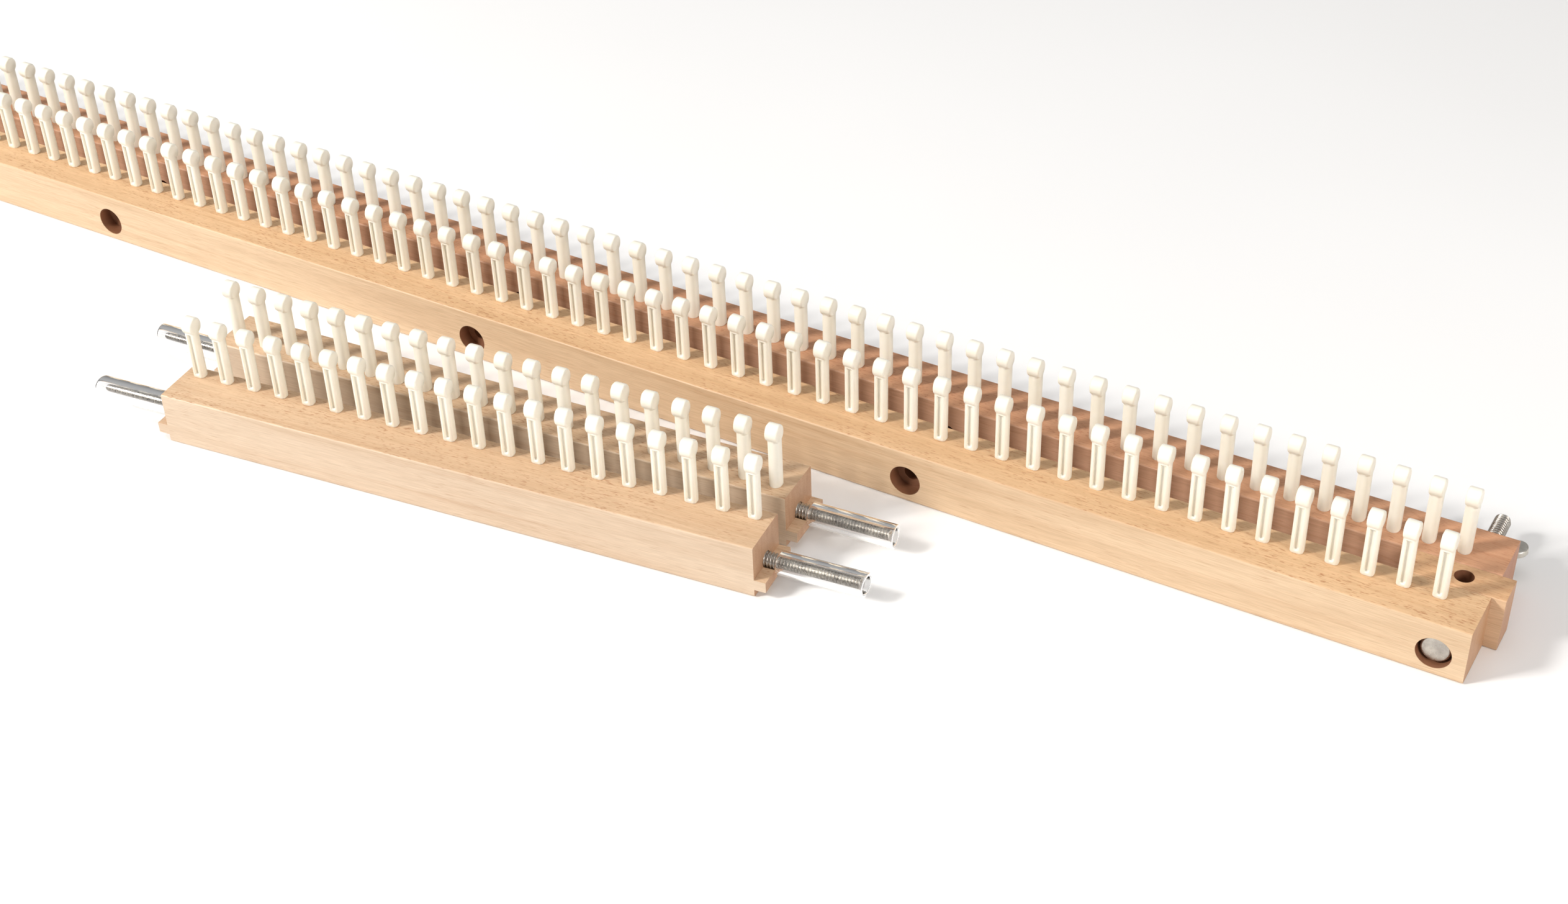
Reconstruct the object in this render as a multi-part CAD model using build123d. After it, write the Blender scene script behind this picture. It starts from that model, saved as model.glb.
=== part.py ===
from build123d import *
import os

# Adjustable double-rail knitting loom with a pair of short extension rails.
# Two long wooden rails carry facing rows of grooved pegs. A bolt at each end runs
# through front rail, spacer block and back rail, and a wing nut clamps them.
# Two short peg rails, each on a threaded rod with clear end sleeves, lie in front.
#
# Units are millimetres. The origin is the middle of the front rail's underside,
# X runs along the loom, +Y goes from the front rail to the back rail, +Z is up.

# Driving dimensions ---------------------------------------------------------
PEG_PITCH = 12.7              # peg to peg along every row
RAIL_SIDE = 22.2              # square section of all rails
RAIL_GAP = 12.7               # clear slot between the long rails
RAIL_EDGE_ROUND = 0.8         # softened long edges
BAYS = 4                      # peg groups between the cross holes
PEGS_PER_BAY = 16
END_MARGIN = 15.6             # last peg to the rail's end
PEG_INSET = 7.2               # peg axis to the rail's inner face

STEM_RADIUS = 2.45            # peg stem: half-round inner side, flat outer side
FLAT_DEPTH = 2.3              # stem axis to its flat, grooved outer face
STEM_CORNER_ROUND = 0.6
GROOVE_WIDTH = 1.9
GROOVE_DEPTH = 1.0
GROOVE_START = 1.5            # solid foot under the groove
PEG_HEIGHT = 27.2             # wood to the top of the peg
HEAD_RADIUS = 3.35            # disc head, its axis along X
HEAD_THICKNESS = 5.0
HEAD_ROUND = 1.0
SHANK_RADIUS = 2.0            # peg root in the wood
SHANK_LENGTH = 7.0
SOCKET_CLEARANCE = 0.05

BOLT_RADIUS = 3.175           # quarter-inch clamp bolts and extension rods
BORE_HEIGHT = 9.2             # axis of every cross hole, bolt and rod above the table
BOLT_LENGTH = 76.2            # under the head
BOLT_HEAD_RADIUS = 5.4
BOLT_HEAD_RECESS = 2.1        # head's face below the rail's face
BOLT_HEAD_ROUND = 0.8
BORE_RADIUS = 3.25
COUNTERBORE_RADIUS = 6.35
COUNTERBORE_DEPTH = 6.0
BOLT_END_INSET = 11.4         # bolt axis to the rail's end

BLOCK_LENGTH = 35.8           # spacer block between the rails at each end
BLOCK_PROUD = 5.0             # how far it stands out past the rails
BLOCK_CLEARANCE = 0.05
BLOCK_HOLE_RADIUS = 3.5       # blind hole in its top, above the bolt
BLOCK_HOLE_DEPTH = 7.0

WASHER_RADIUS = 7.9
WASHER_BORE_RADIUS = 3.6
WASHER_THICKNESS = 1.2

NUT_BORE_RADIUS = 3.235
NUT_BASE_RADIUS = 6.0
NUT_TOP_RADIUS = 4.7
NUT_HEIGHT = 6.5
WING_REACH = 13.5             # axis to the wing's tip
WING_RISE = 12.5              # wing's top above the nut's base
WING_THICKNESS = 2.6
WING_FOOT = 4.0               # lobe's underside above the nut's base
WING_ROOT_LOW = 1.0           # where the wing's web meets the hub
WING_ROOT_HIGH = 6.0
WING_REST_TURN = 8            # degrees from level
TIP_CHAMFER = 0.6             # bolt and rod tips

EXT_PEGS = 20
EXT_END_MARGIN = 6.8          # last peg to the extension rail's end
TONGUE_REACH = 4.6            # low tongue standing out of each extension end
TONGUE_BOTTOM = 3.3
TONGUE_TOP = 7.7
ROD_REACH = 37.4              # threaded rod standing out of the wood at each end
SLEEVE_RADIUS = 4.75
SLEEVE_BORE_RADIUS = 3.25
SLEEVE_STANDOFF = 5.2         # bare thread between the wood and the sleeve
SLEEVE_OVERHANG = 1.8         # sleeve past the rod's tip

# Where the loose extension rails lie: middle of the rail's underside, and turn
EXT_FRONT_PLACE = (53.3, -90.0, 6.5)
EXT_BACK_PLACE = (48.9, -55.6, 4.6)
# Peg row's distance from the rail's middle line, towards the other extension rail
EXT_FRONT_PEG_OFFSET = 6.6
EXT_BACK_PEG_OFFSET = 4.4

# Worked-out sizes ------------------------------------------------------------
HALF = RAIL_SIDE / 2
PEGS = BAYS * PEGS_PER_BAY
RAIL_LENGTH = (PEGS - 1) * PEG_PITCH + 2 * END_MARGIN
RAIL_END = RAIL_LENGTH / 2
BACK_Y = RAIL_SIDE + RAIL_GAP              # back rail's centre plane
BOLT_X = RAIL_END - BOLT_END_INSET
HOLE_STEP = 2 * BOLT_X / BAYS
EXT_LENGTH = (EXT_PEGS - 1) * PEG_PITCH + 2 * EXT_END_MARGIN
BOLT_SEAT_Y = -HALF + COUNTERBORE_DEPTH
OUTER_BACK_Y = BACK_Y + HALF

ALONG_X = Rotation(0, 90, 0)               # turns a Z cylinder to lie along X
ALONG_Y = Rotation(-90, 0, 0)              # turns a Z cylinder to point along +Y
FROM_BASE = (Align.CENTER, Align.CENTER, Align.MIN)


def rod_y(radius, start, end, x, z):
    """Cylinder along +Y from start to end."""
    return Pos(x, start, z) * ALONG_Y * Cylinder(radius, end - start, align=FROM_BASE)


def rod_x(radius, start, end, z):
    """Cylinder along +X from start to end, over the origin's X line."""
    return Pos(start, 0, z) * ALONG_X * Cylinder(radius, end - start, align=FROM_BASE)


def peg():
    """One peg at the origin, foot at z = 0, its grooved face towards -Y."""
    stem_top = PEG_HEIGHT - HEAD_RADIUS
    outer_half = Box(2 * STEM_RADIUS, FLAT_DEPTH, stem_top, align=(Align.CENTER, Align.MAX, Align.MIN))
    outer_edges = outer_half.edges().filter_by(Axis.Z).group_by(Axis.Y)[0]
    stem = fillet(outer_edges, STEM_CORNER_ROUND) + Cylinder(STEM_RADIUS, stem_top, align=FROM_BASE)
    groove_length = stem_top - HEAD_RADIUS / 2 - GROOVE_START
    slot = SlotOverall(groove_length, GROOVE_WIDTH, rotation=90)
    cutter = extrude(Plane.XZ * slot, 2 * GROOVE_DEPTH, both=True)
    middle = GROOVE_START + groove_length / 2
    stem -= Pos(0, -FLAT_DEPTH - GROOVE_DEPTH, middle) * cutter
    head = Cylinder(HEAD_RADIUS, HEAD_THICKNESS)
    head = fillet(head.edges().filter_by(GeomType.CIRCLE), HEAD_ROUND)
    head = Pos(0, 0, PEG_HEIGHT - HEAD_RADIUS) * ALONG_X * head
    shank = Pos(0, 0, -SHANK_LENGTH) * Cylinder(SHANK_RADIUS, SHANK_LENGTH, align=FROM_BASE)
    return stem + head + shank


def row_places(count):
    """Peg positions along X, centred on zero."""
    return [(i - (count - 1) / 2) * PEG_PITCH for i in range(count)]


def rounded_rail(length):
    """Square rail along X with softened long edges, its underside at z = 0."""
    bar = Box(length, RAIL_SIDE, RAIL_SIDE, align=FROM_BASE)
    return fillet(bar.edges().filter_by(Axis.X), RAIL_EDGE_ROUND)


def peg_sockets(count, y):
    """Blind holes in the rail's top for the pegs' roots."""
    radius = SHANK_RADIUS + SOCKET_CLEARANCE
    depth = SHANK_LENGTH + SOCKET_CLEARANCE
    return [Pos(x, y, RAIL_SIDE - depth) * Cylinder(radius, depth + 1, align=FROM_BASE)
            for x in row_places(count)]


def front_rail():
    """Long rail with five counterbored cross holes and a row of peg sockets."""
    cuts = peg_sockets(PEGS, HALF - PEG_INSET)
    for i in range(BAYS + 1):
        x = -BOLT_X + i * HOLE_STEP
        cuts.append(rod_y(BORE_RADIUS, -RAIL_SIDE, RAIL_SIDE, x, BORE_HEIGHT))
        cuts.append(rod_y(COUNTERBORE_RADIUS, -RAIL_SIDE, BOLT_SEAT_Y, x, BORE_HEIGHT))
    return rounded_rail(RAIL_LENGTH) - cuts


def back_rail():
    """Long rail with five plain cross holes, at its place behind the gap."""
    cuts = peg_sockets(PEGS, PEG_INSET - HALF)
    for i in range(BAYS + 1):
        x = -BOLT_X + i * HOLE_STEP
        cuts.append(rod_y(BORE_RADIUS, -RAIL_SIDE, RAIL_SIDE, x, BORE_HEIGHT))
    return Pos(0, BACK_Y, 0) * (rounded_rail(RAIL_LENGTH) - cuts)


def peg_row(places, y, turn):
    """Separate pegs standing on a rail's top at the places given."""
    one = peg()
    return Compound([Pos(x, y, RAIL_SIDE) * Rotation(0, 0, turn) * one for x in places])


def row_turn(facing):
    """Turn of a peg about Z for its groove to look towards -Y or +Y."""
    return 0 if facing < 0 else 180


def end_block(side):
    """Spacer block that fills the gap at one end; side is +1 right, -1 left."""
    middle = RAIL_END + BLOCK_PROUD - BLOCK_LENGTH / 2
    width = RAIL_GAP - BLOCK_CLEARANCE
    block = Pos(middle, HALF + width / 2, 0) * Box(BLOCK_LENGTH, width, RAIL_SIDE, align=FROM_BASE)
    block = fillet(block.edges().filter_by(Axis.X), RAIL_EDGE_ROUND / 2)
    block -= rod_y(BORE_RADIUS, 0, BACK_Y, BOLT_X, BORE_HEIGHT)
    hole = Cylinder(BLOCK_HOLE_RADIUS, BLOCK_HOLE_DEPTH + 1, align=FROM_BASE)
    block -= Pos(BOLT_X, HALF + width / 2, RAIL_SIDE - BLOCK_HOLE_DEPTH) * hole
    return block if side > 0 else mirror(block, Plane.YZ)


def clamp_bolt(side):
    """Round-headed bolt seated in the front rail's counterbore."""
    x = side * BOLT_X
    head_face = -HALF + BOLT_HEAD_RECESS
    head = rod_y(BOLT_HEAD_RADIUS, head_face, BOLT_SEAT_Y, x, BORE_HEIGHT)
    rim = head.edges().filter_by(GeomType.CIRCLE).sort_by(Axis.Y)[0]
    head = fillet(rim, BOLT_HEAD_ROUND)
    tip = BOLT_SEAT_Y + BOLT_LENGTH
    shank = rod_y(BOLT_RADIUS, BOLT_SEAT_Y, tip, x, BORE_HEIGHT)
    shank = chamfer(shank.edges().filter_by(GeomType.CIRCLE).sort_by(Axis.Y)[-1], TIP_CHAMFER)
    return head + shank


def washer(side):
    """Flat washer on the back rail's outer face."""
    x = side * BOLT_X
    ring = rod_y(WASHER_RADIUS, OUTER_BACK_Y, OUTER_BACK_Y + WASHER_THICKNESS, x, BORE_HEIGHT)
    return ring - rod_y(WASHER_BORE_RADIUS, BACK_Y, 2 * OUTER_BACK_Y, x, BORE_HEIGHT)


def wing_nut(side):
    """Wing nut on the bolt's tail, its base against the washer."""
    hub = Cone(NUT_BASE_RADIUS, NUT_TOP_RADIUS, NUT_HEIGHT, align=FROM_BASE)
    lobe_radius = (WING_RISE - WING_FOOT) / 2
    lobe_x = WING_REACH - lobe_radius
    profile = Pos(lobe_x, WING_FOOT + lobe_radius) * Circle(lobe_radius)
    web = Polygon((0, WING_ROOT_LOW), (lobe_x, WING_FOOT), (lobe_x, WING_RISE), (0, WING_ROOT_HIGH), align=None)
    wing = extrude(Plane.XZ * (profile + web), WING_THICKNESS / 2, both=True)
    nut = hub + wing + mirror(wing, Plane.YZ)
    nut -= Cylinder(NUT_BORE_RADIUS, 3 * WING_RISE)
    base_y = OUTER_BACK_Y + WASHER_THICKNESS
    where = Pos(side * BOLT_X, base_y, BORE_HEIGHT) * ALONG_Y
    return where * Rotation(0, 0, -side * WING_REST_TURN) * nut


def extension_rail(peg_y):
    """Short peg rail along X with a lengthwise bore and a low tongue at each end."""
    bar = rounded_rail(EXT_LENGTH)
    tongue_height = TONGUE_TOP - TONGUE_BOTTOM
    tongue = Box(EXT_LENGTH + 2 * TONGUE_REACH, RAIL_SIDE, tongue_height, align=FROM_BASE)
    bar += Pos(0, 0, TONGUE_BOTTOM) * tongue
    bore = rod_x(BORE_RADIUS, -EXT_LENGTH, EXT_LENGTH, BORE_HEIGHT)
    return bar - [bore] - peg_sockets(EXT_PEGS, peg_y)


def threaded_rod():
    """Rod through the extension rail's whole length, standing out at both ends."""
    end = EXT_LENGTH / 2 + ROD_REACH
    rod = rod_x(BOLT_RADIUS, -end, end, BORE_HEIGHT)
    return chamfer(rod.edges().filter_by(GeomType.CIRCLE), TIP_CHAMFER)


def sleeve(side):
    """Clear tube pushed over one end of the rod."""
    near = EXT_LENGTH / 2 + SLEEVE_STANDOFF
    far = EXT_LENGTH / 2 + ROD_REACH + SLEEVE_OVERHANG
    tube = rod_x(SLEEVE_RADIUS, near, far, BORE_HEIGHT)
    tube -= rod_x(SLEEVE_BORE_RADIUS, 0, 2 * far, BORE_HEIGHT)
    return tube if side > 0 else mirror(tube, Plane.YZ)


def long_rail_nodes():
    """The long rails, their pegs in bays, and everything on the two clamp bolts."""
    nodes = {"front_rail": front_rail(), "back_rail": back_rail()}
    places = row_places(PEGS)
    for bay in range(BAYS):
        group = places[bay * PEGS_PER_BAY:(bay + 1) * PEGS_PER_BAY]
        nodes[f"front_pegs_bay_{bay + 1}"] = peg_row(group, HALF - PEG_INSET, row_turn(-1))
        nodes[f"back_pegs_bay_{bay + 1}"] = peg_row(group, BACK_Y - HALF + PEG_INSET, row_turn(1))
    for name, side in (("left", -1), ("right", 1)):
        nodes[f"end_block_{name}"] = end_block(side)
        nodes[f"clamp_bolt_{name}"] = clamp_bolt(side)
        nodes[f"washer_{name}"] = washer(side)
        nodes[f"wing_nut_{name}"] = wing_nut(side)
    return nodes


def extension_nodes(name, facing, peg_y, place):
    """One extension rail with its pegs, rod and sleeves, laid at its place."""
    x, y, turn = place
    where = Pos(x, y, 0) * Rotation(0, 0, turn)
    pegs = peg_row(row_places(EXT_PEGS), peg_y, row_turn(facing))
    pieces = {
        "rail": extension_rail(peg_y),
        "pegs": pegs,
        "rod": threaded_rod(),
        "sleeve_left": sleeve(-1),
        "sleeve_right": sleeve(1),
    }
    return {f"extension_{name}_{piece}": where * shape for piece, shape in pieces.items()}


def main():
    nodes = long_rail_nodes()
    nodes.update(extension_nodes("front", -1, EXT_FRONT_PEG_OFFSET, EXT_FRONT_PLACE))
    nodes.update(extension_nodes("back", 1, -EXT_BACK_PEG_OFFSET, EXT_BACK_PLACE))
    os.makedirs("parts", exist_ok=True)
    for name, shape in nodes.items():
        export_step(shape, f"parts/{name}.step")
    print(len(nodes), "nodes written")


if __name__ == "__main__":
    main()
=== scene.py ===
import math
import random

import bpy
from mathutils import Matrix, Vector


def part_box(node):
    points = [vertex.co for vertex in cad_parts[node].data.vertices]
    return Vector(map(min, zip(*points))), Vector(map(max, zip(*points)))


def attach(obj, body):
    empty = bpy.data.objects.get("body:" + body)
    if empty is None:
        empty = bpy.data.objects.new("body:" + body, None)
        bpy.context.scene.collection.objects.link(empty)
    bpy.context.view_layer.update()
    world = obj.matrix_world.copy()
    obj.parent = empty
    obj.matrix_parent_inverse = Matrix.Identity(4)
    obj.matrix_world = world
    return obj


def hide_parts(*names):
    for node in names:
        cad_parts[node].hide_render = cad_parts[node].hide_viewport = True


# Looks of the knitting loom: beech rails, moulded ivory pegs, threaded steel and clear sleeves.
# Metres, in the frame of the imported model: origin under the middle of the front rail, X along the loom.

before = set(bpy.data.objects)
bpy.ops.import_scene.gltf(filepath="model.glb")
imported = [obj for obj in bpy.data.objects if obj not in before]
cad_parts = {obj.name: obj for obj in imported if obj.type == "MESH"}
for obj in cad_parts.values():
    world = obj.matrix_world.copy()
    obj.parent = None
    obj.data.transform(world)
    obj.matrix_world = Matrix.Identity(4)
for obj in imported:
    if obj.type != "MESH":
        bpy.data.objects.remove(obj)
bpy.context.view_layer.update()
random.seed(7)

MM = 0.001
PEG_PITCH = 12.7 * MM
PEGS_PER_BAY = 16
EXTENSION_PEGS = 20
BAYS = 4
THREAD_LEAD = 1.27 * MM
THREAD_DEPTH = 0.72 * MM

EXTENSIONS = {"front": -1, "back": 1}     # name of the rail: the side its pegs' grooves look to
SIDES = {"left": -1, "right": 1}


# Node material helpers -------------------------------------------------------

class Nodes:
    """A material's node tree, with short calls to add and join nodes."""

    def __init__(self, name):
        self.material = bpy.data.materials.new(name)
        self.material.use_nodes = True
        self.tree = self.material.node_tree
        self.shader = self.tree.nodes["Principled BSDF"]

    def add(self, kind, settings=None, **inputs):
        """A node of this kind; inputs are numbers, colours or other nodes' outputs."""
        node = self.tree.nodes.new(kind)
        for key, value in (settings or {}).items():
            setattr(node, key, value)
        for key, value in inputs.items():
            self.set(node.inputs[key.replace("_", " ")], value)
        return node

    def set(self, socket, value):
        if isinstance(value, bpy.types.NodeSocket):
            self.tree.links.new(value, socket)
        else:
            socket.default_value = value

    def math(self, operation, a, b=0.0):
        node = self.tree.nodes.new("ShaderNodeMath")
        node.operation = operation
        self.set(node.inputs[0], a)
        self.set(node.inputs[1], b)
        return node.outputs[0]

    def mapped(self, vector, scale, turn=0.0):
        node = self.add("ShaderNodeMapping", Vector=vector, Scale=scale, Rotation=(0, 0, turn))
        return node.outputs[0]

    def noise(self, vector, scale, detail=2.0, roughness=0.5, distortion=0.0):
        node = self.add("ShaderNodeTexNoise", Vector=vector, Scale=scale, Detail=detail,
                        Roughness=roughness, Distortion=distortion)
        return node.outputs[0]

    def ramp(self, value, stops):
        """Colour ramp with (position, colour) stops."""
        node = self.add("ShaderNodeValToRGB", Fac=value)
        band = node.color_ramp
        while len(band.elements) < len(stops):
            band.elements.new(0.5)
        for element, (position, colour) in zip(band.elements, stops):
            element.position = position
            element.color = (*colour, 1)
        return node.outputs[0]

    def levels(self, value, low, high, to_low=0.0, to_high=1.0):
        node = self.add("ShaderNodeMapRange", Value=value)
        for key, number in (("From Min", low), ("From Max", high), ("To Min", to_low), ("To Max", to_high)):
            node.inputs[key].default_value = number
        return node.outputs[0]

    def mix(self, factor, a, b, blend="MIX"):
        node = self.tree.nodes.new("ShaderNodeMix")
        node.data_type = "RGBA"
        node.blend_type = blend
        self.set(node.inputs[0], factor)
        self.set(node.inputs[6], a)
        self.set(node.inputs[7], b)
        return node.outputs[2]

    def bump(self, height, strength, distance):
        node = self.add("ShaderNodeBump", Height=height, Strength=strength, Distance=distance)
        self.set(self.shader.inputs["Normal"], node.outputs[0])

    def point(self):
        return self.add("ShaderNodeTexCoord").outputs["Object"]


def shade_bores(n, point, colour, holes, dark):
    """Paints shade into drilled holes: their walls turn a deep red-brown, for the shade inside them and the
    darker drilled wood.

    holes are (axis, first centre, step between holes, radius, low, high).
    """
    # painted shade: the deep colour given to the walls of drilled holes
    bore_shade = (dark[0] * 0.36, dark[1] * 0.22, dark[2] * 0.20, 1)
    x, y, z = n.add("ShaderNodeSeparateXYZ", Vector=point).outputs
    for axis, centre, step, radius, low, high in holes:
        along, across = (y, z) if axis == "Y" else (z, y)
        folded = n.math("SUBTRACT", x, centre.x)
        if step:
            beside = n.math("ADD", folded, 50.5 * step)
            folded = n.math("SUBTRACT", n.math("FLOORED_MODULO", beside, step), step / 2)
        side = n.math("SUBTRACT", across, centre.z if axis == "Y" else centre.y)
        off = n.math("SQRT", n.math("ADD", n.math("POWER", n.math("ABSOLUTE", folded), 2.0),
                                    n.math("POWER", n.math("ABSOLUTE", side), 2.0)))
        inside = n.math("LESS_THAN", off, radius)
        deep = n.math("MULTIPLY", n.math("GREATER_THAN", along, low), n.math("LESS_THAN", along, high))
        colour = n.mix(n.math("MULTIPLY", n.math("MULTIPLY", inside, deep), 0.92), colour, bore_shade)
    return colour


# painted light: tint that makes side faces paler and bluer than tops
SIDE_LIGHT_TINT = (1.03, 1.15, 1.32)


def beech(name, light, dark, turn=0.0, shift=0.0, holes=()):
    """Sanded beech, its grain along X turned by an angle; light and dark are the wood's two tones."""
    n = Nodes(name)
    coords = n.add("ShaderNodeTexCoord")
    straight = n.add("ShaderNodeVectorRotate", {"rotation_type": "Z_AXIS"},
                     Vector=coords.outputs["Object"], Angle=-turn).outputs[0]
    straight = n.add("ShaderNodeVectorMath", {"operation": "ADD"}, Vector=straight).outputs[0]
    straight.node.inputs[1].default_value = (shift, 0.37 * shift, 0.21 * shift)

    # slow colour drift, then bands of growth rings, then fibres, all drawn out along the grain
    drift = n.noise(n.mapped(straight, (3, 18, 18)), 1.0, 3, 0.6)
    rings = n.noise(n.mapped(straight, (9, 260, 190)), 1.0, 3, 0.55, 0.6)
    fibres = n.noise(n.mapped(straight, (90, 2600, 2600)), 1.0, 4, 0.6)
    tone = n.math("ADD", n.math("MULTIPLY", drift, 0.62), n.math("MULTIPLY", rings, 0.38))
    colour = n.ramp(tone, [(0.34, dark), (0.66, light)])
    streaks = n.levels(n.noise(n.mapped(straight, (5, 420, 420)), 1.0, 2, 0.5), 0.56, 0.72)
    colour = n.mix(n.math("MULTIPLY", streaks, 0.35), colour, (0.80, 0.66, 0.56, 1), "MULTIPLY")
    fine = n.ramp(n.levels(fibres, 0.3, 0.7), [(0.0, (0.86, 0.83, 0.79)), (1.0, (1.06, 1.05, 1.04))])
    colour = n.mix(1.0, colour, fine, "MULTIPLY")

    # painted light: sides are made paler and bluer than tops, standing in for the stronger light and
    # washed-out highlights on them
    facing = n.add("ShaderNodeSeparateXYZ", Vector=coords.outputs["Normal"]).outputs[2]
    upward = n.levels(n.math("ABSOLUTE", facing), 0.5, 0.9)
    colour = n.mix(n.math("SUBTRACT", 1.0, upward), colour, (*SIDE_LIGHT_TINT, 1), "MULTIPLY")

    # the short dark flecks of beech: dashes on top faces, thinner and longer on the sides
    dashes = n.levels(n.noise(n.mapped(straight, (430, 2400, 2400)), 1.0, 1, 0.4), 0.59, 0.68)
    lines = n.levels(n.noise(n.mapped(straight, (170, 3000, 3000)), 1.0, 1, 0.4), 0.62, 0.76, 0.0, 0.6)
    patches = n.levels(n.noise(n.mapped(straight, (25, 60, 60)), 1.0, 2, 0.5), 0.36, 0.62, 0.35, 1.0)
    flecks = n.math("ADD", n.math("MULTIPLY", dashes, upward),
                    n.math("MULTIPLY", lines, n.math("SUBTRACT", 1.0, upward)))
    flecks = n.math("MULTIPLY", flecks, patches)
    colour = n.mix(n.math("MULTIPLY", flecks, 0.7), colour, (0.58, 0.36, 0.24, 1), "MULTIPLY")

    # end grain is darker and shows the rings as arcs
    axis = Vector((math.cos(turn), math.sin(turn), 0))
    along = n.add("ShaderNodeVectorMath", {"operation": "DOT_PRODUCT"}, Vector=coords.outputs["Normal"])
    along.inputs[1].default_value = axis
    is_end = n.levels(n.math("ABSOLUTE", along.outputs["Value"]), 0.75, 0.95)
    years = n.noise(n.mapped(straight, (20, 420, 90), turn), 1.0, 2, 0.5)
    pores = n.noise(n.mapped(straight, (900, 2600, 2600)), 1.0, 2, 0.5)
    end_tone = n.math("ADD", n.math("MULTIPLY", years, 0.45), n.math("MULTIPLY", pores, 0.55))
    end_dark = (dark[0] * 0.70, dark[1] * 0.58, dark[2] * 0.55)
    end_light = (light[0] * 0.74, light[1] * 0.64, light[2] * 0.60)
    end_colour = n.ramp(end_tone, [(0.32, end_dark), (0.68, end_light)])
    colour = n.mix(is_end, colour, end_colour)

    # painted shade inside the drilled holes of the rails and blocks
    colour = shade_bores(n, coords.outputs["Object"], colour, holes, dark)
    n.set(n.shader.inputs["Base Color"], colour)
    n.set(n.shader.inputs["Roughness"], n.levels(fibres, 0.2, 0.8, 0.50, 0.36))
    n.shader.inputs["Specular IOR Level"].default_value = 0.45
    relief = n.math("SUBTRACT", n.math("MULTIPLY", fibres, 0.5), n.math("MULTIPLY", flecks, 0.8))
    n.bump(relief, 0.35, 0.00012)
    return n.material


def ivory_plastic():
    """Moulded ivory plastic: soft satin, faint flow mottling, each peg a touch its own shade."""
    n = Nodes("ivory_plastic")
    point = n.point()
    mottle = n.noise(point, 160, 3, 0.5)
    per_peg = n.add("ShaderNodeTexWhiteNoise", {"noise_dimensions": "1D"})
    x = n.add("ShaderNodeSeparateXYZ", Vector=point).outputs[0]
    n.set(per_peg.inputs["W"], n.math("FLOOR", n.math("DIVIDE", x, PEG_PITCH)))
    tone = n.math("ADD", n.math("MULTIPLY", mottle, 0.6), n.math("MULTIPLY", per_peg.outputs["Value"], 0.4))
    n.set(n.shader.inputs["Base Color"], n.ramp(tone, [(0.2, (0.84, 0.80, 0.69)), (0.8, (0.90, 0.87, 0.78))]))
    n.set(n.shader.inputs["Roughness"], n.levels(n.noise(point, 900, 2, 0.6), 0.3, 0.7, 0.34, 0.46))
    n.shader.inputs["Subsurface Weight"].default_value = 0.12
    n.shader.inputs["Subsurface Radius"].default_value = (1.0, 0.8, 0.5)
    n.shader.inputs["Subsurface Scale"].default_value = 1.2 * MM
    n.bump(n.noise(point, 2200, 2, 0.5), 0.12, 0.00004)
    return n.material


def steel(name, light, dark, rough_low, rough_high, grain_scale):
    """Bare or plated metal with uneven polish and fine tool marks."""
    n = Nodes(name)
    point = n.point()
    stain = n.noise(point, 220, 4, 0.6)
    n.set(n.shader.inputs["Base Color"], n.ramp(stain, [(0.35, dark), (0.65, light)]))
    n.shader.inputs["Metallic"].default_value = 1.0
    grain = n.noise(n.mapped(point, grain_scale), 1.0, 3, 0.6)
    n.set(n.shader.inputs["Roughness"], n.levels(grain, 0.3, 0.7, rough_low, rough_high))
    n.bump(grain, 0.18, 0.00005)
    return n.material


def clear_vinyl():
    """Soft clear tube: see-through, slightly clouded, with faint scuffs."""
    n = Nodes("clear_vinyl")
    point = n.point()
    n.shader.inputs["Transmission Weight"].default_value = 1.0
    n.shader.inputs["IOR"].default_value = 1.42
    n.set(n.shader.inputs["Base Color"], n.ramp(n.noise(point, 120, 2, 0.5),
                                                [(0.3, (0.93, 0.94, 0.95)), (0.7, (0.99, 0.99, 0.99))]))
    n.set(n.shader.inputs["Roughness"], n.levels(n.noise(point, 150, 2, 0.5), 0.45, 0.75, 0.02, 0.07))
    return n.material


# Mesh helpers ----------------------------------------------------------------

def piece(name, verts, faces, material, body, slot, nodes=(), place=None):
    """A smooth-shaded mesh that rides on a body and stands for the CAD nodes given."""
    mesh = bpy.data.meshes.new(name)
    mesh.from_pydata(verts, [], faces)
    if place is not None:
        mesh.transform(place)
    mesh.polygons.foreach_set("use_smooth", [True] * len(mesh.polygons))
    mesh.materials.append(material)
    mesh.update()
    made = bpy.data.objects.new(name, mesh)
    bpy.context.scene.collection.objects.link(made)
    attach(made, body)
    if nodes:
        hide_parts(*nodes)
    return made


def tube_faces(rings, count, first=0, closed=True):
    """Quads between neighbouring rings of count points each."""
    faces = []
    steps = count if closed else count - 1
    for r in range(rings - 1):
        low = first + r * count
        for k in range(steps):
            after = (k + 1) % count
            faces.append((low + k, low + after, low + count + after, low + count + k))
    return faces


def lathe(profile, count=48):
    """Ring surface about Z from (radius, height) points, the ends left open or at radius 0."""
    verts = []
    for radius, height in profile:
        for k in range(count):
            angle = 2 * math.pi * k / count
            verts.append((radius * math.cos(angle), radius * math.sin(angle), height))
    return verts, tube_faces(len(profile), count)


def closed_lathe(profile, count=48):
    """Lathe whose profile is a closed loop, such as a washer's section."""
    return lathe(profile + profile[:1], count)


def smoothstep(value):
    t = min(1.0, max(0.0, value))
    return t * t * (3 - 2 * t)


# Pegs ------------------------------------------------------------------------

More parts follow.
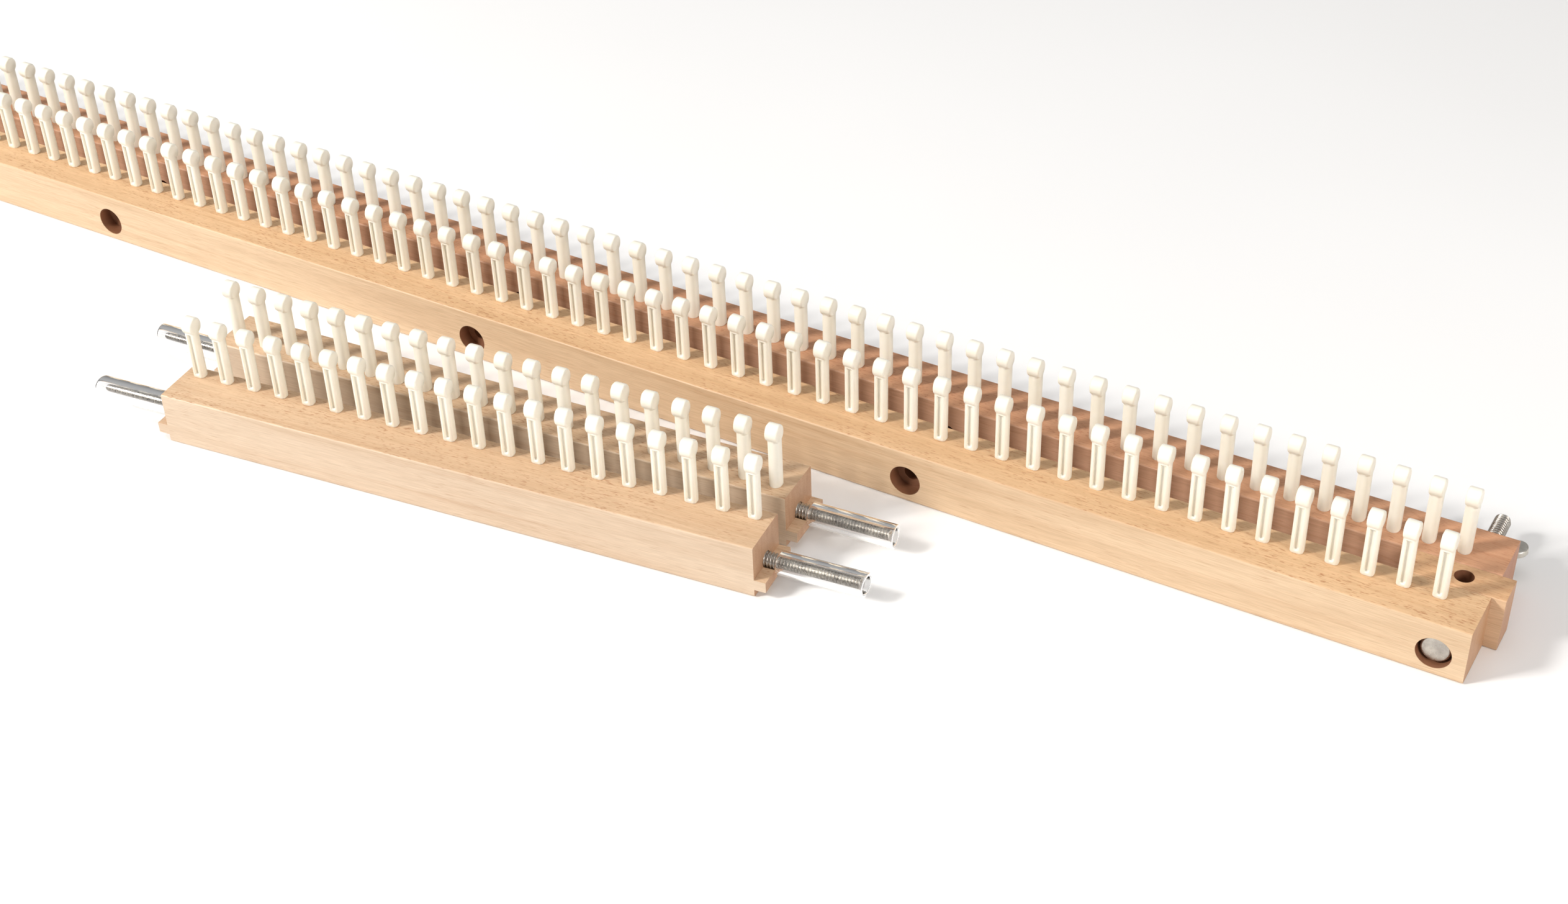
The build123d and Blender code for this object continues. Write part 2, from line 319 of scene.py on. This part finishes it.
STEM_HALF = 2.45 * MM
STEM_FRONT = 2.3 * MM
STEM_CORNER = 1.3 * MM
PEG_TOP = 27.2 * MM
HEAD_DEEP = 3.35 * MM          # head's half size towards the knitter
HEAD_TALL = 3.65 * MM          # and half its height
HEAD_HALF = 2.5 * MM
HEAD_CORNER = 0.8 * MM
GROOVE_HALF = 0.98 * MM
GROOVE_DEEP = 1.05 * MM
GROOVE_FOOT = 1.3 * MM
GROOVE_SOFT = 0.22 * MM
LIP_HEIGHT = 20.1 * MM
COLUMN_SPOTS = (0, 0.16, 0.29, 0.34, 0.37, 0.40, 0.43, 0.46, 0.53, 0.64, 0.75, 0.84, 0.91, 0.96, 0.99, 1)


def corner_drop(x, half, radius):
    """How far a rounded corner falls back from the flat at x."""
    over = abs(x) - (half - radius)
    if over <= 0:
        return 0.0
    return radius - math.sqrt(max(0.0, radius * radius - over * over))


def groove_depth(x, z):
    """Depth of the yarn groove in the peg's outer face."""
    if z > LIP_HEIGHT:
        return 0.0
    centre = GROOVE_FOOT + GROOVE_HALF
    inside = GROOVE_HALF - (math.hypot(x, z - centre) if z < centre else abs(x))
    return GROOVE_DEEP * smoothstep((inside + 0.1 * MM) / GROOVE_SOFT)


def peg_levels():
    """Heights of the peg's rings, close together where its shape changes."""
    foot = [0.0, 0.12, 0.3, 0.7, 1.05, 1.2, 1.35, 1.5, 1.7, 1.95, 2.25, 2.7, 3.4]
    shaft = [6.0, 9.5, 13.0, 16.5, 19.0, 19.9]
    levels = [z * MM for z in foot + shaft] + [LIP_HEIGHT, LIP_HEIGHT + 0.06 * MM]
    middle = PEG_TOP - HEAD_TALL
    low_turn = -68
    for step in range(22):
        turn = math.radians(low_turn + (88.5 - low_turn) * (step + 1) / 22)
        levels.append(middle + HEAD_TALL * math.sin(turn))
    return sorted(levels)


def peg_ring(z, columns):
    """Outline of the peg at one height: the outer face's points, then the inner side's."""
    middle = PEG_TOP - HEAD_TALL
    rise = (z - middle) / HEAD_TALL
    disc = HEAD_DEEP * math.sqrt(max(0.0, 1 - rise * rise))
    stem_part = z < middle
    reach_out = max(STEM_FRONT if stem_part else 0.0, disc)
    reach_in = max(STEM_HALF if stem_part else 0.0, disc)
    headness = smoothstep((disc - 1.6 * MM) / (1.1 * MM)) if stem_part else 1.0
    half = STEM_HALF + (HEAD_HALF - STEM_HALF) * headness
    fall = PEG_TOP - z
    if fall < HEAD_CORNER:
        half -= HEAD_CORNER - math.sqrt(max(0.0, HEAD_CORNER ** 2 - (HEAD_CORNER - fall) ** 2))
    foot_round = 0.25 * MM
    if z < foot_round:
        half -= 0.5 * (foot_round - z)
        reach_out -= 0.5 * (foot_round - z)
    out_corner = min(STEM_CORNER + (HEAD_CORNER - STEM_CORNER) * headness, reach_out)
    in_corner = min(STEM_HALF + (HEAD_CORNER - STEM_HALF) * headness, reach_in, half)
    outer, inner = [], []
    for spot in columns:
        x = spot * half
        y = -reach_out + corner_drop(x, half, out_corner) + groove_depth(x, z)
        outer.append((x, min(y, 0.0), z))
        inner.append((x, reach_in - corner_drop(x, half, in_corner), z))
    return outer + inner[::-1]


def peg_shape():
    """One peg at the origin, its grooved face towards -Y."""
    columns = [-spot for spot in COLUMN_SPOTS[:0:-1]] + list(COLUMN_SPOTS)
    verts = []
    levels = peg_levels()
    for z in levels:
        verts += peg_ring(z, columns)
    width = len(columns)
    count = 2 * width
    faces = tube_faces(len(levels), count)
    top = (len(levels) - 1) * count
    for k in range(width - 1):
        faces.append((top + k, top + k + 1, top + count - 2 - k, top + count - 1 - k))
        faces.append((k + 1, k, count - 1 - k, count - 2 - k))
    return verts, faces


def peg_group(name, places, body, node, material):
    """Copies of the peg joined in one piece; each place is a matrix."""
    verts, faces = peg_shape()
    all_verts, all_faces = [], []
    for place in places:
        wobble = Matrix.Rotation(math.radians(random.uniform(-1.2, 1.2)), 4, "Z")
        lean = Matrix.Rotation(math.radians(random.uniform(-0.25, 0.25)), 4, "Y")
        start = len(all_verts)
        turned = place @ lean @ wobble
        all_verts += [turned @ Vector(v) for v in verts]
        all_faces += [tuple(start + i for i in face) for face in faces]
    return piece(name, all_verts, all_faces, material, body, "ivory_pegs", [node])


def row_places(low_x, count, y, z, facing):
    turn = Matrix.Rotation(math.pi if facing > 0 else 0.0, 4, "Z")
    return [Matrix.Translation((low_x + i * PEG_PITCH, y, z)) @ turn for i in range(count)]


# Threads, bolts, rods --------------------------------------------------------

ROUND = 24                     # points round a threaded ring
STEPS_PER_TURN = 8


def thread_radius(radius, x, angle):
    """Radius of a 60 degree thread at a place along and round the rod."""
    phase = (x / THREAD_LEAD - angle / (2 * math.pi)) % 1.0
    cut = min(1.0, max(0.0, (1 - abs(2 * phase - 1) - 0.10) / 0.72))
    return radius - THREAD_DEPTH * cut


def threaded_bar(radius, spans):
    """Bar along X. spans are (start, end, threaded) in order; its ends are chamfered and closed."""
    rows = []
    for start, end, threaded in spans:
        step = THREAD_LEAD / STEPS_PER_TURN
        count = max(1, round((end - start) / step)) if threaded else 3
        rows += [(start + (end - start) * i / count, threaded) for i in range(count + 1)]
    first, last = rows[0][0], rows[-1][0]
    chamfer = 0.7 * MM
    verts = []
    for x, threaded in rows:
        edge = min(x - first, last - x)
        limit = radius - max(0.0, chamfer - edge)
        for k in range(ROUND):
            angle = 2 * math.pi * k / ROUND
            r = thread_radius(radius, x, angle) if threaded else radius - THREAD_DEPTH * 0.05
            r = min(r, limit)
            verts.append((x, r * math.cos(angle), r * math.sin(angle)))
    faces = tube_faces(len(rows), ROUND)
    verts += [(first, 0, 0), (last, 0, 0)]
    low, high = len(verts) - 2, len(verts) - 1
    top = (len(rows) - 1) * ROUND
    for k in range(ROUND):
        after = (k + 1) % ROUND
        faces.append((low, after, k))
        faces.append((high, top + k, top + after))
    return verts, faces


def joined(*parts):
    """Several (verts, faces) pairs as one."""
    verts, faces = [], []
    for part_verts, part_faces in parts:
        start = len(verts)
        verts += list(part_verts)
        faces += [tuple(start + i for i in face) for face in part_faces]
    return verts, faces


def rounded_disc(radius, low, high, edge, bore=0.0):
    """Closed disc or ring section about Z with rounded rims."""
    outer = [(radius - edge + edge * math.cos(a), low + edge - edge * math.sin(a))
             for a in [math.pi / 2 * (1 - i / 4) for i in range(5)]]
    upper = [(r, low + high - z) for r, z in outer[::-1]]
    if bore:
        return closed_lathe([(bore, low)] + outer + upper + [(bore, high)])
    return lathe([(1e-5, low)] + outer + upper + [(1e-5, high)])


def clamp_bolt(name, material):
    """Round flat head in the counterbore, plain shank, threaded tail behind the back rail."""
    node = f"clamp_bolt_{name}"
    low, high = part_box(node)
    rail_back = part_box("back_rail")[1].y
    head_radius = (high.x - low.x) / 2
    head_depth = 3.9 * MM
    centre = (low + high) / 2
    tail_length = high.y - low.y
    plain = rail_back - 6 * MM - low.y
    bar = threaded_bar(3.15 * MM, [(head_depth * 0.5, plain, False), (plain, tail_length, True)])
    bar_verts = [(y, z, x) for x, y, z in bar[0]]
    head = rounded_disc(head_radius, 0.0, head_depth, 0.9 * MM)
    verts, faces = joined(head, (bar_verts, bar[1]))
    place = Matrix.Translation((centre.x, low.y, centre.z)) @ Matrix.Rotation(-math.pi / 2, 4, "X")
    return piece(f"{node}_steel", verts, faces, material, "front_rail", "threaded_steel", [node], place)


def washer(name, material):
    node = f"washer_{name}"
    low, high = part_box(node)
    centre = (low + high) / 2
    verts, faces = rounded_disc((high.x - low.x) / 2, 0.0, high.y - low.y, 0.3 * MM, 3.6 * MM)
    place = Matrix.Translation((centre.x, low.y, centre.z)) @ Matrix.Rotation(-math.pi / 2, 4, "X")
    return piece(f"{node}_steel", verts, faces, material, "back_rail", "plated_steel", [node], place)


def wing_outline(count=28):
    """Half of the wing nut's wing, seen flat: from the hub out round the lobe and back."""
    lobe = 4.25 * MM
    centre_x, centre_z = 13.3 * MM - lobe, 12.3 * MM - lobe
    points = [(2.0 * MM, 1.2 * MM), (5.5 * MM, 2.3 * MM)]
    for i in range(count):
        turn = math.radians(-75 + 215 * i / (count - 1))
        points.append((centre_x + lobe * math.cos(turn), centre_z + lobe * math.sin(turn)))
    points += [(4.6 * MM, 7.4 * MM), (2.0 * MM, 6.0 * MM)]
    return points


def wing_solid(mirror_side):
    """Closed slab of the wing, even in thickness."""
    outline = wing_outline()
    verts = []
    for y in (-1.25 * MM, 1.25 * MM):
        verts += [(mirror_side * x, y, z) for x, z in outline]
    n = len(outline)
    sides = [(k, (k + 1) % n, n + (k + 1) % n, n + k) for k in range(n)]
    faces = sides + [tuple(range(n))[::-1], tuple(range(n, 2 * n))]
    if mirror_side < 0:
        faces = [face[::-1] for face in faces]
    return verts, faces


def wing_nut(name, side, material):
    """Cast wing nut: hub and wings melted together."""
    node = f"wing_nut_{name}"
    low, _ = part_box(node)
    bolt_low, bolt_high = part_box(f"clamp_bolt_{name}")
    hub = lathe([(3.3 * MM, 0), (5.7 * MM, 0), (6.0 * MM, 0.4 * MM), (5.6 * MM, 2.5 * MM),
                 (4.8 * MM, 6.1 * MM), (4.4 * MM, 6.5 * MM), (3.3 * MM, 6.5 * MM), (3.3 * MM, 0)])
    verts, faces = joined(hub, wing_solid(1), wing_solid(-1))
    centre = (bolt_low + bolt_high) / 2
    rest_turn = Matrix.Rotation(math.radians(-8 * side), 4, "Z")
    along_bolt = Matrix.Rotation(-math.pi / 2, 4, "X")
    place = Matrix.Translation((centre.x, low.y, centre.z)) @ along_bolt @ rest_turn
    rough_mesh = bpy.data.meshes.new("rough_casting")
    rough_mesh.from_pydata(verts, [], faces)
    rough = bpy.data.objects.new("rough_casting", rough_mesh)
    bpy.context.scene.collection.objects.link(rough)
    remesh = rough.modifiers.new("melt", "REMESH")
    remesh.mode = "VOXEL"
    remesh.voxel_size = 0.28 * MM
    soften = rough.modifiers.new("soften", "SMOOTH")
    soften.factor = 0.5
    soften.iterations = 6
    baked = bpy.data.meshes.new_from_object(rough.evaluated_get(bpy.context.evaluated_depsgraph_get()))
    baked_verts = []
    for v in baked.vertices:
        x, y, z = v.co
        if math.hypot(x, y) < 3.6 * MM:
            grip = 3.24 * MM / max(math.hypot(x, y), 1e-6)
            x, y = x * grip, y * grip
        baked_verts.append((x, y, z))
    baked_faces = [tuple(p.vertices) for p in baked.polygons]
    bpy.data.objects.remove(rough)
    return piece(f"{node}_cast", baked_verts, baked_faces, material, node, "plated_steel", [node], place)


# Extension rods and sleeves --------------------------------------------------

EXTENSION_TURN = {"front": 6.5, "back": 4.6}
PEG_ROW_OFFSET = {"front": 6.6 * MM, "back": -4.4 * MM}
ROD_REACH = 37.4 * MM
EXTENSION_HALF = (19 * PEG_PITCH + 13.6 * MM) / 2
ROD_HEIGHT = 9.2 * MM
SLEEVE_STANDOFF = 5.2 * MM
SLEEVE_OVERHANG = 1.8 * MM


def extension_place(name):
    """Matrix that lays a piece made along X at an extension rail: found from the rod's ends."""
    turn = math.radians(EXTENSION_TURN[name])
    rod_low, rod_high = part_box(f"extension_{name}_rod")
    middle = (rod_low + rod_high) / 2
    return Matrix.Translation((middle.x, middle.y, 0)) @ Matrix.Rotation(turn, 4, "Z")


def rod(name, material):
    """The threaded rod: thread where it shows and a little way into the wood, plain inside."""
    inside = 8 * MM
    tip = EXTENSION_HALF + ROD_REACH
    bar = threaded_bar(3.15 * MM, [(-tip, -EXTENSION_HALF + inside, True),
                                   (-EXTENSION_HALF + inside, EXTENSION_HALF - inside, False),
                                   (EXTENSION_HALF - inside, tip, True)])
    place = extension_place(name) @ Matrix.Translation((0, 0, ROD_HEIGHT))
    node = f"extension_{name}_rod"
    return piece(f"{node}_thread", *bar, material, node, "threaded_steel", [node], place)


def sleeve(name, end, material):
    """Clear tube on the rod's end: slightly oval, with a hand-cut far end."""
    side = SIDES[end]
    start = EXTENSION_HALF + SLEEVE_STANDOFF
    length = ROD_REACH + SLEEVE_OVERHANG - SLEEVE_STANDOFF
    outer, inner = 4.7 * MM, 3.3 * MM
    wall = (outer - inner) / 2
    middle = (outer + inner) / 2
    section = [(outer, t) for t in (0.006, 0.02)] + [(outer, t / 14) for t in range(1, 14)]
    section += [(outer, 0.98), (outer, 0.994), (middle + 0.6 * wall, 1.0), (middle - 0.6 * wall, 1.0)]
    section += [(inner, 0.994), (inner, 0.98)] + [(inner, t / 14) for t in range(13, 0, -1)]
    section += [(inner, 0.02), (inner, 0.006), (middle - 0.6 * wall, 0.0), (middle + 0.6 * wall, 0.0)]
    slant = random.uniform(-0.8, 0.8) * MM
    around = 40
    verts = []
    for radius, t in section:
        for k in range(around):
            angle = 2 * math.pi * k / around
            oval = 1 + 0.012 * math.cos(2 * angle + 0.6)
            x = start + length * t + slant * t ** 6 * math.cos(angle)
            verts.append((side * x, radius * oval * math.cos(angle), radius * oval * math.sin(angle)))
    faces = tube_faces(len(section), around)
    last = (len(section) - 1) * around
    for k in range(around):
        after = (k + 1) % around
        faces.append((last + k, last + after, after, k))
    if side > 0:
        faces = [face[::-1] for face in faces]
    node = f"extension_{name}_sleeve_{end}"
    place = extension_place(name) @ Matrix.Translation((0, 0, ROD_HEIGHT))
    tube = piece(f"{node}_tube", verts, faces, material, node, "clear_sleeve", [node], place)
    tube.visible_shadow = False     # light reaches the rod inside
    return tube


# Build -----------------------------------------------------------------------

front_low, front_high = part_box("front_rail")
back_low, back_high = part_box("back_rail")
last_bolt = (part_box("clamp_bolt_right")[0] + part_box("clamp_bolt_right")[1]) / 2
bolt_step = 2 * last_bolt.x / BAYS
# painted hole shade: kept this far in from the faces of the rails and blocks
bore_shade_edge = 0.2 * MM           # the dark stops this far inside a rail's faces
front_holes = ("Y", last_bolt, bolt_step, 6.6 * MM, front_low.y + bore_shade_edge, front_high.y - bore_shade_edge)
back_holes = ("Y", last_bolt, bolt_step, 6.6 * MM, back_low.y + bore_shade_edge, back_high.y - bore_shade_edge)
rail_front = beech("beech_front", (0.74, 0.505, 0.30), (0.59, 0.37, 0.20), shift=0.3, holes=[front_holes])
rail_back = beech("beech_back", (0.67, 0.37, 0.22), (0.52, 0.26, 0.145), shift=1.7, holes=[back_holes])
block_mid = (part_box("end_block_right")[0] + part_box("end_block_right")[1]) / 2
block_wood = {}
for end, side in SIDES.items():
    blind_hole = ("Z", Vector((side * last_bolt.x, block_mid.y, 0)), 0, 3.7 * MM, 0,
                  front_high.z - bore_shade_edge)
    block_wood[end] = beech(f"beech_block_{end}", (0.73, 0.46, 0.26), (0.58, 0.345, 0.185),
                            shift=2.9 + side, holes=[blind_hole])
ivory = ivory_plastic()
bright = steel("threaded_steel", (0.58, 0.55, 0.50), (0.40, 0.37, 0.34), 0.22, 0.38, (900, 900, 900))
plated = steel("plated_steel", (0.80, 0.77, 0.70), (0.66, 0.62, 0.55), 0.30, 0.45, (700, 700, 700))
vinyl = clear_vinyl()


def paint(node, material):
    """Gives a CAD node its finish."""
    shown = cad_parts[node]
    shown.data.materials.clear()
    shown.data.materials.append(material)


paint("front_rail", rail_front)
paint("back_rail", rail_back)
for end_name, end_side in SIDES.items():
    paint(f"end_block_{end_name}", block_wood[end_name])
    clamp_bolt(end_name, bright)
    washer(end_name, plated)
    wing_nut(end_name, end_side, plated)

for row, row_facing in (("front", -1), ("back", 1)):
    for bay in range(1, BAYS + 1):
        bay_node = f"{row}_pegs_bay_{bay}"
        bay_low, bay_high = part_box(bay_node)
        first_x = (bay_low.x + bay_high.x) / 2 - (PEGS_PER_BAY - 1) / 2 * PEG_PITCH
        wood_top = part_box(f"{row}_rail")[1].z
        spots = row_places(first_x, PEGS_PER_BAY, (bay_low.y + bay_high.y) / 2, wood_top, row_facing)
        peg_group(f"{bay_node}_moulded", spots, f"{row}_rail", bay_node, ivory)

for ext_name, ext_facing in EXTENSIONS.items():
    turn_angle = math.radians(EXTENSION_TURN[ext_name])
    ext_shift = 4.1 + ext_facing
    ext_wood = beech(f"beech_extension_{ext_name}", (0.71, 0.52, 0.35), (0.58, 0.385, 0.235),
                     turn_angle, ext_shift)
    paint(f"extension_{ext_name}_rail", ext_wood)
    ext_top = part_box(f"extension_{ext_name}_rail")[1].z
    local = row_places(-(EXTENSION_PEGS - 1) / 2 * PEG_PITCH, EXTENSION_PEGS, PEG_ROW_OFFSET[ext_name],
                       ext_top, ext_facing)
    ext_spots = [extension_place(ext_name) @ spot for spot in local]
    peg_group(f"extension_{ext_name}_pegs_moulded", ext_spots, f"extension_{ext_name}",
              f"extension_{ext_name}_pegs", ivory)
    rod(ext_name, bright)
    for end_name in SIDES:
        sleeve(ext_name, end_name, vinyl)


# Stage -----------------------------------------------------------------------

def floor():
    n = Nodes("floor_white")
    n.set(n.shader.inputs["Base Color"], n.ramp(n.noise(n.point(), 3, 2, 0.5),
                                                [(0.3, (0.86, 0.86, 0.86)), (0.7, (0.89, 0.89, 0.89))]))
    n.shader.inputs["Roughness"].default_value = 0.9
    mesh = bpy.data.meshes.new("floor")
    reach = 12
    mesh.from_pydata([(-reach, -reach, 0), (reach, -reach, 0), (reach, reach, 0), (-reach, reach, 0)], [],
                     [(0, 1, 2, 3)])
    mesh.materials.append(n.material)
    made = bpy.data.objects.new("floor", mesh)
    made.location.z = -0.2 * MM
    bpy.context.scene.collection.objects.link(made)


def area_light(name, position, target, size, power, colour):
    data = bpy.data.lights.new(name, "AREA")
    data.shape = "RECTANGLE"
    data.size, data.size_y = size
    data.energy = power
    data.color = colour
    made = bpy.data.objects.new(name, data)
    made.location = position
    made.rotation_mode = "QUATERNION"
    made.rotation_quaternion = (Vector(target) - Vector(position)).to_track_quat("-Z", "Y")
    bpy.context.scene.collection.objects.link(made)


def camera():
    """Camera at the photograph's viewing angle: looking back along -X, down, with a slight roll."""
    azimuth, elevation, roll = (math.radians(a) for a in (31.585, 36.795, -2.012))
    data = bpy.data.cameras.new("camera")
    data.lens = 52.09
    data.sensor_width = 36
    data.clip_start, data.clip_end = 0.05, 50
    made = bpy.data.objects.new("camera", data)
    forward = Vector((-math.sin(azimuth) * math.cos(elevation), math.cos(azimuth) * math.cos(elevation),
                      -math.sin(elevation)))
    level = forward.cross(Vector((0, 0, 1))).normalized()
    up = level.cross(forward)
    right = level * math.cos(roll) + up * math.sin(roll)
    turned_up = right.cross(forward)
    made.matrix_world = Matrix.Translation((0.51749, -0.60987, 0.52972)) @ Matrix(
        (right, turned_up, -forward)).transposed().to_4x4()
    bpy.context.scene.collection.objects.link(made)
    bpy.context.scene.camera = made


floor()
camera()
area_light("key", (-1.1, -1.35, 1.4), (0, 0, 0), (0.40, 0.40), 50, (1.0, 0.98, 0.95))
area_light("top", (0.2, 0.1, 2.4), (0, 0, 0), (1.6, 1.6), 9, (1.0, 1.0, 1.0))
area_light("right", (1.5, -0.5, 0.7), (0.4, 0, 0), (0.5, 0.5), 11, (1.0, 0.95, 0.90))
world = bpy.data.worlds.new("studio")
world.use_nodes = True
sky = world.node_tree.nodes["Background"]
height = world.node_tree.nodes.new("ShaderNodeSeparateXYZ")
shade = world.node_tree.nodes.new("ShaderNodeValToRGB")
direction = world.node_tree.nodes.new("ShaderNodeTexCoord")
world.node_tree.links.new(direction.outputs["Generated"], height.inputs[0])
world.node_tree.links.new(height.outputs[2], shade.inputs[0])
world.node_tree.links.new(shade.outputs[0], sky.inputs["Color"])
shade.color_ramp.elements[0].position = 0.05
shade.color_ramp.elements[0].color = (0.30, 0.28, 0.27, 1)
shade.color_ramp.elements[1].position = 0.75
shade.color_ramp.elements[1].color = (1.0, 1.0, 1.0, 1)
sky.inputs["Strength"].default_value = 0.42
bpy.context.scene.world = world
bpy.context.scene.view_settings.view_transform = "Standard"
